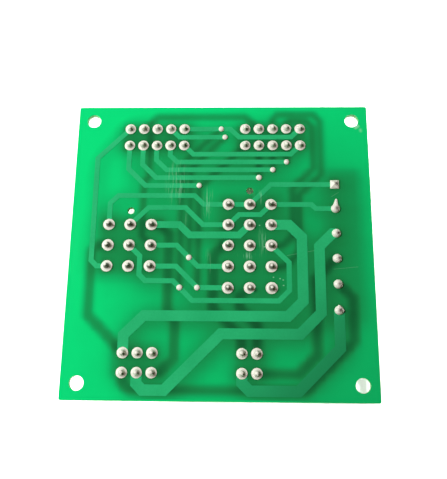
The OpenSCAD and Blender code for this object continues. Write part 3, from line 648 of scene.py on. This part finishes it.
def joint_tree():
    """Sets one joint on every point, turned, leant, scaled and rippled by fixed random values."""
    tree = bpy.data.node_groups.new("soldered_joints", "GeometryNodeTree")
    sockets = {}
    for name, kind, way in (
        ("Points", "NodeSocketGeometry", "INPUT"), ("Joint", "NodeSocketObject", "INPUT"),
        ("Lean", "NodeSocketFloat", "INPUT"), ("Spread", "NodeSocketFloat", "INPUT"),
        ("Ripple", "NodeSocketFloat", "INPUT"), ("Seed", "NodeSocketInt", "INPUT"),
        ("Finish", "NodeSocketMaterial", "INPUT"), ("Joints", "NodeSocketGeometry", "OUTPUT"),
    ):
        sockets[name] = tree.interface.new_socket(name, in_out=way, socket_type=kind)
    given = add_node(tree, "NodeGroupInput", {})
    lean, spread, seed = given["Lean"], given["Spread"], given["Seed"]
    shape = add_node(tree, "GeometryNodeObjectInfo", {
        "Object": given["Joint"], "As Instance": True})["Geometry"]
    back = add_node(tree, "ShaderNodeMath", {0: lean, 1: -1.0}, operation="MULTIPLY")[0]
    least = add_node(tree, "ShaderNodeCombineXYZ", {"X": back, "Y": back, "Z": -TURN_RANGE})[0]
    most = add_node(tree, "ShaderNodeCombineXYZ", {"X": lean, "Y": lean, "Z": TURN_RANGE})[0]
    turn = add_node(tree, "FunctionNodeRandomValue", {
        0: least, 1: most, "Seed": seed}, data_type="FLOAT_VECTOR")["Value"]
    small = add_node(tree, "ShaderNodeMath", {0: 1.0, 1: spread}, operation="SUBTRACT")[0]
    large = add_node(tree, "ShaderNodeMath", {0: 1.0, 1: spread}, operation="ADD")[0]
    wide = add_node(tree, "FunctionNodeRandomValue", {2: small, 3: large, "Seed": seed}, data_type="FLOAT")[1]
    size = add_node(tree, "ShaderNodeCombineXYZ", {"X": wide, "Y": wide, "Z": wide})[0]
    copies = add_node(tree, "GeometryNodeInstanceOnPoints", {
        "Points": given["Points"], "Instance": shape, "Rotation": turn, "Scale": size})["Instances"]
    real = add_node(tree, "GeometryNodeRealizeInstances", {"Geometry": copies})["Geometry"]
    place = add_node(tree, "GeometryNodeInputPosition", {})[0]
    wave = add_node(tree, "ShaderNodeTexNoise", {
        "Vector": place, "Scale": per_metre(RIPPLE_SIZE), "Detail": 1.0})["Fac"]
    level = add_node(tree, "ShaderNodeMath", {0: wave, 1: 0.5}, operation="SUBTRACT")[0]
    depth = add_node(tree, "ShaderNodeMath", {0: level, 1: given["Ripple"]}, operation="MULTIPLY")[0]
    out = add_node(tree, "GeometryNodeInputNormal", {})[0]
    push = add_node(tree, "ShaderNodeVectorMath", {0: out, "Scale": depth}, operation="SCALE")[0]
    height = add_node(tree, "ShaderNodeSeparateXYZ", {"Vector": place})["Z"]
    is_raised = add_node(tree, "ShaderNodeMath", {
        0: height, 1: land_z + FOOT_HEIGHT}, operation="GREATER_THAN")[0]
    moved = add_node(tree, "GeometryNodeSetPosition", {
        "Geometry": real, "Selection": is_raised, "Offset": push})["Geometry"]
    finished = add_node(tree, "GeometryNodeSetMaterial", {"Geometry": moved, "Material": given["Finish"]})[0]
    add_node(tree, "NodeGroupOutput", {"Joints": finished})
    return tree, {name: socket.identifier for name, socket in sockets.items()}


joint_group, joint_socket = joint_tree()


def baked_mesh(made):
    """A plain mesh of an object with its modifiers applied."""
    bpy.context.view_layer.update()
    graph = bpy.context.evaluated_depsgraph_get()
    return bpy.data.meshes.new_from_object(made.evaluated_get(graph), depsgraph=graph)


def soldered(name, centres, master, spread, ripple, seed):
    """A plain mesh of one joint at each centre."""
    points = bpy.data.meshes.new(name)
    points.from_pydata([(p.x, p.y, land_z) for p in centres], [], [])
    carrier = link(name + "_points", points)
    pattern = link(name + "_pattern", master)
    setter = carrier.modifiers.new("joints", "NODES")
    setter.node_group = joint_group
    for label, value in (
        ("Joint", pattern), ("Lean", JOINT_LEAN), ("Spread", spread), ("Ripple", ripple),
        ("Seed", seed), ("Finish", solder_metal),
    ):
        setter[joint_socket[label]] = value
    mesh = baked_mesh(carrier)
    bpy.data.objects.remove(carrier)
    bpy.data.objects.remove(pattern)
    return link(name, mesh)


JOINT_SPREAD = 0.02
JOINT_RIPPLE = 0.06 * MM
FIRST_SEED = 3
MATRIX_HEADERS = ("nine_way", "fifteen_way")
HEADERS = ("left_ten_way", "right_ten_way", "nine_way", "fifteen_way", "six_way", "four_way")
for seed, header in enumerate(HEADERS, FIRST_SEED):
    parts = islands(header + "_solder")
    rim = parts[0][1].x / 2
    if header in MATRIX_HEADERS:
        form = joint_profile(rim, MATRIX_COAT, MATRIX_RING)
    else:
        form = joint_profile(rim, DUAL_COAT, DUAL_RING)
    master = turned(header + "_joint", form)
    centres = [centre for centre, _ in parts]
    joints = soldered(header + "_joints", centres, master, JOINT_SPREAD, JOINT_RIPPLE, seed)
    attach(joints, "root")
    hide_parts(header + "_solder")

# Edge header joints: small closed heaps of the same solder. The first sits on a square land as a four-sided
# heap, the second was drawn out to a long tip as the iron left it, and the last has two beads on its side.
BLEND_VOXEL = 0.075 * MM
RELAX_STEPS = 4
RELAX_FACTOR = 0.5
HEAP_STEPS = 9
HEAP_FILL = 0.95
SQUARE_STEPS = 16
SQUARE_LIP = 0.1 * MM
SQUARE_CURVE = 0.85
BEAD_SIDES = 24
edge_parts = sorted(islands("edge_solder"), key=lambda part: -part[0].y)
edge_pins = sorted(islands("edge_pins"), key=lambda part: -part[0].y)
edge_rim = min(size.x for _, size in edge_parts) / 2
edge_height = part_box("edge_solder")[1].z - land_z
edge_spots = [Vector((part[0].x, pin[0].y, 0)) for part, pin in zip(edge_parts, edge_pins)]


def heap(centre, rim, height):
    """Closed dome on a round land."""
    ball = (rim * rim + height * height) / (2 * height)
    half_angle = math.asin(min(1.0, rim / ball))
    if height > rim:
        half_angle = math.pi - half_angle
    profile = []
    for angle in (half_angle * (1 - k / HEAP_STEPS) for k in range(HEAP_STEPS)):
        profile.append((ball * math.sin(angle), height - ball + ball * math.cos(angle), 0.0, 0.0))
    mesh = turned("heap", profile + [(0.0, height, 0.0, 0.0)])
    mesh.transform(Matrix.Translation(Vector((centre.x, centre.y, land_z))))
    return mesh


def square_heap(centre, half, height):
    """Closed four-sided heap on a square land."""
    shape = bmesh.new()
    grid = []
    for i in range(SQUARE_STEPS + 1):
        row = []
        for j in range(SQUARE_STEPS + 1):
            u, v = 2 * i / SQUARE_STEPS - 1, 2 * j / SQUARE_STEPS - 1
            rise = SQUARE_LIP + height * (1 - max(abs(u), abs(v))) ** SQUARE_CURVE
            row.append(shape.verts.new((centre.x + u * half, centre.y + v * half, land_z + rise)))
        grid.append(row)
    for i in range(SQUARE_STEPS):
        for j in range(SQUARE_STEPS):
            shape.faces.new((grid[i][j], grid[i + 1][j], grid[i + 1][j + 1], grid[i][j + 1]))
    rim = [e for e in shape.edges if e.is_boundary]
    skirt = bmesh.ops.extrude_edge_only(shape, edges=rim)["geom"]
    for v in (g for g in skirt if isinstance(g, bmesh.types.BMVert)):
        v.co.z = land_z
    bmesh.ops.holes_fill(shape, edges=[e for e in shape.edges if e.is_boundary])
    bmesh.ops.recalc_face_normals(shape, faces=shape.faces)
    mesh = bpy.data.meshes.new("square_heap")
    shape.to_mesh(mesh)
    shape.free()
    return mesh


def shoulder_bead(centre, start, end, thick, thin):
    """Short tapering rod of solder from start to end, set off from a joint's centre."""
    run = end - start
    shape = bmesh.new()
    bmesh.ops.create_cone(
        shape, cap_ends=True, segments=BEAD_SIDES, radius1=thick, radius2=thin, depth=run.length)
    turn = run.to_track_quat("Z", "Y").to_matrix().to_4x4()
    turn.translation = Vector((centre.x, centre.y, land_z)) + (start + end) / 2
    bmesh.ops.transform(shape, matrix=turn, verts=shape.verts)
    mesh = bpy.data.meshes.new("shoulder_bead")
    shape.to_mesh(mesh)
    shape.free()
    return mesh


def blended(name, meshes):
    """Joins meshes, melts them into one skin and smooths it."""
    shape = bmesh.new()
    for mesh in meshes:
        shape.from_mesh(mesh)
    joined = bpy.data.meshes.new(name)
    shape.to_mesh(joined)
    shape.free()
    made = link(name, joined)
    melt = made.modifiers.new("melt", "REMESH")
    melt.mode = "VOXEL"
    melt.voxel_size = BLEND_VOXEL
    melt.use_smooth_shade = True
    relax = made.modifiers.new("relax", "SMOOTH")
    relax.iterations = RELAX_STEPS
    relax.factor = RELAX_FACTOR
    mesh = baked_mesh(made)
    made.modifiers.clear()
    made.data = mesh
    return made


# The drawn-out joint is a run of heaps that shrink to its end. Each bead has its two ends, from the joint's
# centre, and the radius at each, in millimetres.
DRAWN_POLE = 1
DRAWN_STEPS = 24
DRAWN_RUN = Vector((0.3, 2.7, 0)) * MM
DRAWN_END = 0.4 * MM
DRAWN_TAPER = 0.6
BEADED_POLE = 5
BEADS = (
    ((-0.1, 0.8, 0.5), (0.1, 1.35, 0.7), 0.5, 0.42),
    ((0.9, -0.2, 0.45), (1.3, 0.1, 0.55), 0.4, 0.25),
)
heap_height = edge_height * HEAP_FILL
edge_shapes = [square_heap(edge_spots[0], edge_parts[0][1].x / 2, edge_height)]
for pole, spot in enumerate(edge_spots[1:], 1):
    edge_shapes.append(heap(spot, edge_rim, heap_height))
    if pole == DRAWN_POLE:
        for part in (k / DRAWN_STEPS for k in range(1, DRAWN_STEPS + 1)):
            rim = edge_rim + (DRAWN_END - edge_rim) * part ** DRAWN_TAPER
            height = heap_height + (DRAWN_END - heap_height) * part
            edge_shapes.append(heap(spot + part * DRAWN_RUN, rim, height))
    if pole == BEADED_POLE:
        for start, end, thick, thin in BEADS:
            ends = (Vector(start) * MM, Vector(end) * MM)
            edge_shapes.append(shoulder_bead(spot, *ends, thick * MM, thin * MM))
edge_joints = blended("edge_joints", edge_shapes)

# Painted brown shade on each heap, on the side turned from the key light, from the square one on: its place
# from the centre, its width, and its strength.
SHADE_MARKS = (
    (0.45, 0.0, 0.5, 1.0), (0.35, -0.1, 0.55, 0.85), (0.45, -0.1, 0.5, 1.0),
    (0.55, -0.05, 0.45, 0.9), (0.35, -0.05, 0.5, 0.75), (0.35, -0.1, 0.65, 0.95),
)
skin_points = np.array([v.co for v in edge_joints.data.vertices])
painted_marks = np.zeros(len(skin_points))
for spot, (x, y, wide, strength) in zip(edge_spots, SHADE_MARKS):
    offset = (skin_points[:, :2] - np.array(spot.xy)) / MM - (x, y)
    painted_marks = np.maximum(painted_marks, strength * np.exp(-(offset ** 2).sum(axis=1) / wide ** 2))
edge_skin = edge_joints.data.attributes
painted_shade_layer = edge_skin.get("dull") or edge_skin.new("dull", "FLOAT", "POINT")
painted_shade_layer.data.foreach_set("value", painted_marks.astype(np.float32))
edge_joints.data.materials.clear()
edge_joints.data.materials.append(solder_metal)
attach(edge_joints, "root")
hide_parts("edge_solder")

# Vias: plated holes that carry a track to the far side, each closed by a low bead of the same solder.
# They filled as the joints were soldered, so their crowns are a little uneven too.
VIA_STEPS = 8
VIA_SPREAD = 0.05
VIA_RIPPLE = 0.08 * MM
VIA_SEED = 21
via_parts = islands("via_solder")
via_rim = via_parts[0][1].x / 2
via_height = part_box("via_solder")[1].z - land_z
via_form = []
for angle in (math.pi / 2 * k / VIA_STEPS for k in range(VIA_STEPS)):
    via_form.append((via_rim * math.cos(angle), via_height * math.sin(angle), 0.0, 0.0))
via_bead = turned("via_bead", via_form + [(0.0, via_height, 0.0, 0.0)])
via_centres = [centre for centre, _ in via_parts]
via_beads = soldered("via_beads", via_centres, via_bead, VIA_SPREAD, VIA_RIPPLE, VIA_SEED)
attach(via_beads, "root")
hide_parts("via_solder")

# Ground: a plain matt white sheet that the part rests on, and a white wall far round it. Only the camera sees
# the wall, so low views end in white and the part is lit by the lamps, the sheet and the surround alone.
REACH = 3.0
WALL_SIDES = 64
floor_mesh = bpy.data.meshes.new("floor")
floor_corners = [(-REACH, -REACH, 0), (REACH, -REACH, 0), (REACH, REACH, 0), (-REACH, REACH, 0)]
floor_mesh.from_pydata(floor_corners, [], [(0, 1, 2, 3)])
floor = link("floor", floor_mesh)
white_sheet, sheet_tree, sheet_shader = new_material("white_sheet")
join(sheet_tree, sheet_shader, {"Base Color": linear("#f4f4f2"), "Roughness": 0.9})
floor_mesh.materials.append(white_sheet)
wall_points = []
for height in (0, REACH):
    for angle in (2 * math.pi * k / WALL_SIDES for k in range(WALL_SIDES)):
        wall_points.append((REACH * math.cos(angle), REACH * math.sin(angle), height))
wall_faces = []
for k in range(WALL_SIDES):
    after = (k + 1) % WALL_SIDES
    wall_faces.append((k, after, after + WALL_SIDES, k + WALL_SIDES))
wall_mesh = bpy.data.meshes.new("wall")
wall_mesh.from_pydata(wall_points, [], wall_faces)
wall = link("wall", wall_mesh)
white_wall, wall_tree, wall_shader = new_material("white_wall")
join(wall_tree, wall_shader, {
    "Base Color": linear("#000000"), "Emission Color": linear("#ffffff"), "Emission Strength": 1.0})
wall_mesh.materials.append(white_wall)
for ray in ("visible_diffuse", "visible_glossy", "visible_transmission", "visible_shadow"):
    setattr(wall, ray, False)


# Light: a bright panel high on the left and behind, whose own mirror image stays out of the gloss, and a dim
# broad one lower on the left, in a dim warm surround. Three suns light the ground alone, so it stays white:
# one from above, and two from low down that reach under the board.
def panel(name, place, size, energy):
    lamp = bpy.data.lights.new(name, "AREA")
    lamp.shape = "SQUARE"
    lamp.size = size
    lamp.energy = energy
    made = bpy.data.objects.new(name, lamp)
    made.location = place
    made.rotation_euler = (-Vector(place)).to_track_quat("-Z", "Y").to_euler()
    return made


def sun(name, energy, angle):
    lamp = bpy.data.lights.new(name, "SUN")
    lamp.energy = energy
    lamp.angle = math.radians(angle)
    return lamp


high_panel = panel("high_panel", place=(-0.32, 0.11, 0.52), size=0.20, energy=3.36)
high_panel.visible_glossy = False
side_panel = panel("side_panel", place=(-0.32, 0.05, 0.20), size=0.30, energy=0.34)
ground_suns = [bpy.data.objects.new("ground_wash", sun("ground_wash", energy=3.8, angle=4))]
low_sun = sun("ground_slant", energy=5.0, angle=20)
for name, aim in (("ground_slant", (0.8, -0.35, -0.5)), ("ground_front", (-0.7, 0.6, -0.42))):
    slanted = bpy.data.objects.new(name, low_sun)
    slanted.rotation_euler = Vector(aim).to_track_quat("-Z", "Y").to_euler()
    ground_suns.append(slanted)
ground_only = bpy.data.collections.new("ground_only")
ground_only.objects.link(floor)
for lamp in ground_suns:
    lamp.light_linking.receiver_collection = ground_only
for lamp in (high_panel, side_panel, *ground_suns):
    bpy.context.scene.collection.objects.link(lamp)
surround = bpy.data.worlds.new("surround")
surround.use_nodes = True
background = surround.node_tree.nodes["Background"]
join(surround.node_tree, background, {"Color": linear("#c9a08c"), "Strength": 0.18})
bpy.context.scene.world = surround
bpy.context.scene.view_settings.view_transform = "Standard"

# Camera: above the front of the board, tipped about fifteen degrees from straight down. Its place, in
# millimetres, its tilt, in degrees, and its lens were fitted to the pin pattern in the photograph.
CAMERA_PLACE = (6.54, -48.51, 202.0)
CAMERA_TILT = (15.40, 1.61, 0.63)
LENS = 48.27
SENSOR_WIDTH = 36.0
NEAREST = 10 * MM
camera_data = bpy.data.cameras.new("camera")
camera_data.lens = LENS
camera_data.sensor_width = SENSOR_WIDTH
camera_data.clip_start = NEAREST
camera = bpy.data.objects.new("camera", camera_data)
camera.location = Vector(CAMERA_PLACE) * MM
camera.rotation_euler = Euler([math.radians(a) for a in CAMERA_TILT])
bpy.context.scene.collection.objects.link(camera)
bpy.context.scene.camera = camera
